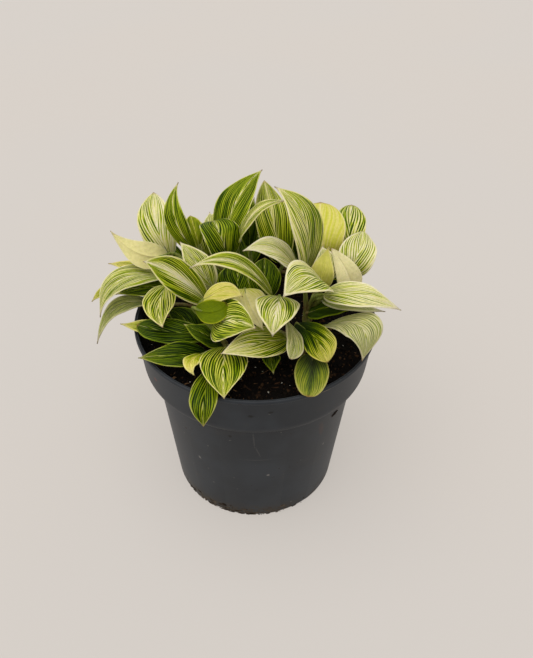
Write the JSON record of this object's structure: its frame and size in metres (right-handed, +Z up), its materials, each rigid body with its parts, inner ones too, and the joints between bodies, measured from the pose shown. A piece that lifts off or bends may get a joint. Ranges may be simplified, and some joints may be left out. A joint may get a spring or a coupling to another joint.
{
  "type": "potted philodendron",
  "caption": "Young variegated philodendron clump with cream-striped pointed leaves, growing in dark soil in a plain grey nursery pot.",
  "frame": {"origin": "middle of the pot's underside", "axes": "+Z up, -Y towards the front of the plant"},
  "size_m": [0.1519, 0.1459, 0.1688],
  "materials": {
    "pot_plastic": "dark slate grey, slightly dusty",
    "soil_peat": "dark moist peat with bark fibres",
    "leaf": "satin green with cream stripes"
  },
  "bodies": {
    "root": {"pot": "pot_plastic", "soil": "soil_peat", "plantlet_left": "leaf", "plantlet_back": "leaf", "plantlet_centre": "leaf", "plantlet_front": "leaf", "plantlet_right": "leaf", "plantlet_right_front": "leaf", "plantlet_back_left": "leaf", "plantlet_back_right": "leaf"}
  },
  "joints": []
}
